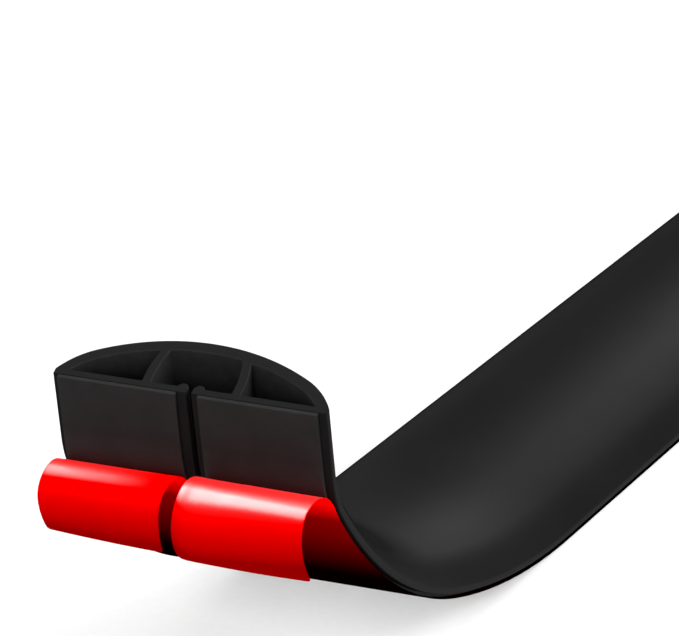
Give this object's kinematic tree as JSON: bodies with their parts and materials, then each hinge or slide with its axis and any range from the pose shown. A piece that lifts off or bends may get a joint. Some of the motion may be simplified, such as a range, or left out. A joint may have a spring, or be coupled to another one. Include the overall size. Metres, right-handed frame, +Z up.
{
  "type": "floor cord cover",
  "caption": "Low domed hollow floor strip that hides cords, with a slit base, adhesive tapes and red peel-off liners; near end bent up and liners peeled back.",
  "frame": {"origin": "middle of the part's footprint, on the floor", "axes": "+Z up; +Y along the flat run, away from the bent end; X across the cover"},
  "size_m": [0.076, 0.9764, 0.0998],
  "materials": {
    "cover_profile": "satin black flexible PVC with a fine extruded surface",
    "adhesive_tape": "dark grey double-sided foam tape",
    "release_liner": "glossy red release film"
  },
  "bodies": {
    "root": {"cover_profile": "cover_profile", "adhesive_strip_left": "adhesive_tape", "adhesive_strip_right": "adhesive_tape", "release_liner_left": "release_liner", "release_liner_right": "release_liner"}
  },
  "joints": []
}
